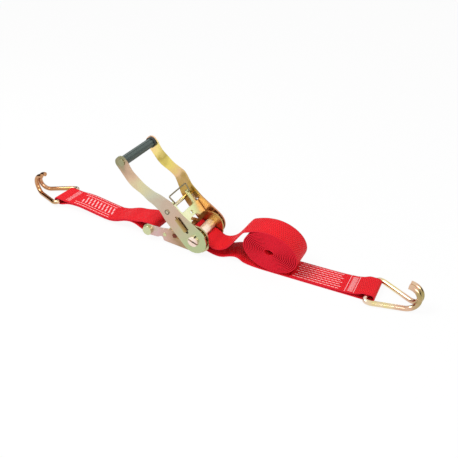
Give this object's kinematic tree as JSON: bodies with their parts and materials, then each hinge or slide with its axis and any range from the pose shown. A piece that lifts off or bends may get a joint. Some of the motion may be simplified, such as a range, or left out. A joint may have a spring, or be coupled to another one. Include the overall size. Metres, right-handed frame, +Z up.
{
  "type": "ratchet strap",
  "caption": "Red webbing tie-down strap with a split-mandrel ratchet buckle, raised handle, spare length rolled up, and a double J wire hook in each end loop.",
  "frame": {"origin": "on the ground under the middle of the whole strap as it lies", "axes": "+X along the strap from the short end to the long end, +Y across it along the mandrel, +Z up"},
  "size_m": [0.8225, 0.1052, 0.1741],
  "materials": {
    "zinc_plate": "pale yellow-green passivated zinc on pressed steel, satin with a pink and gold sheen",
    "zinc_gold": "gold passivated zinc, satin",
    "zinc_hook": "gold and copper passivated zinc on round wire, glossy",
    "zinc_small": "pale passivated zinc on small turned parts",
    "spring_steel": "plain spring steel",
    "grip_plastic": "dark grey-green moulded grip",
    "collar_plastic": "black moulded collar",
    "webbing_red": "woven red polyester webbing with white stitching"
  },
  "bodies": {
    "frame": {"frame_plate_near": "zinc_plate", "frame_plate_far": "zinc_gold", "end_bolt": "zinc_small", "end_nut": "zinc_small", "end_sleeve": "zinc_small", "spring_bridge": "zinc_small", "lock_spring": "spring_steel", "long_strap": "webbing_red", "strap_tail": "webbing_red", "strap_coil": "webbing_red"},
    "handle": {"handle_plate_near": "zinc_plate", "handle_plate_far": "zinc_gold", "handle_stay": "zinc_small", "grip_rod": "zinc_small", "grip_sleeve": "grip_plastic", "grip_collar": "collar_plastic", "drive_springs": "spring_steel"},
    "drive_pawl_slider": {"drive_pawl": "zinc_plate", "release_wire": "zinc_small"},
    "lock_pawl_slider": {"lock_pawl": "zinc_gold"},
    "mandrel": {"mandrel_half_upper": "zinc_gold", "mandrel_half_lower": "zinc_gold", "ratchet_wheel_near": "zinc_gold", "ratchet_wheel_far": "zinc_gold", "spring_pins": "spring_steel", "strap_wrap": "webbing_red"},
    "short_strap_swing": {"short_strap": "webbing_red"},
    "left_hook": {"hook_left": "zinc_hook"},
    "right_hook": {"hook_right": "zinc_hook"}
  },
  "joints": [
    {"name": "handle_swing", "type": "hinge", "parent": "frame", "child": "handle", "pos_m": [0.0096, 0, 0.0305], "axis": [0, 1, 0], "range_deg": [-36, 98]},
    {"name": "drive_pawl_slide", "type": "slide", "parent": "handle", "child": "drive_pawl_slider", "axis": [-0.6361, 0, 0.7716], "range_m": [0, 0.006], "stiffness_N_per_m": 800, "springref_m": -0.004, "deforming": ["drive_springs"]},
    {"name": "lock_pawl_slide", "type": "slide", "parent": "frame", "child": "lock_pawl_slider", "axis": [-0.9863, 0, -0.165], "range_m": [0, 0.006], "stiffness_N_per_m": 800, "springref_m": -0.004, "deforming": ["lock_spring"]},
    {"name": "mandrel_spin", "type": "hinge", "parent": "frame", "child": "mandrel", "pos_m": [0.0096, 0, 0.0305], "axis": [0, 1, 0], "continuous": true},
    {"name": "short_strap_hinge", "type": "hinge", "parent": "frame", "child": "short_strap_swing", "pos_m": [-0.0938, 0, 0.02036], "axis": [0, 1, 0], "range_deg": [-75, 75]},
    {"name": "left_hook_swing", "type": "hinge", "parent": "short_strap_swing", "child": "left_hook", "pos_m": [-0.32642, 0.01341, 0.011], "axis": [0.0489, 0.9988, 0], "range_deg": [-100, 100]},
    {"name": "right_hook_swing", "type": "hinge", "parent": "frame", "child": "right_hook", "pos_m": [0.3271, 0, 0.00735], "axis": [0.1045, 0.9945, 0], "range_deg": [-100, 100]}
  ]
}
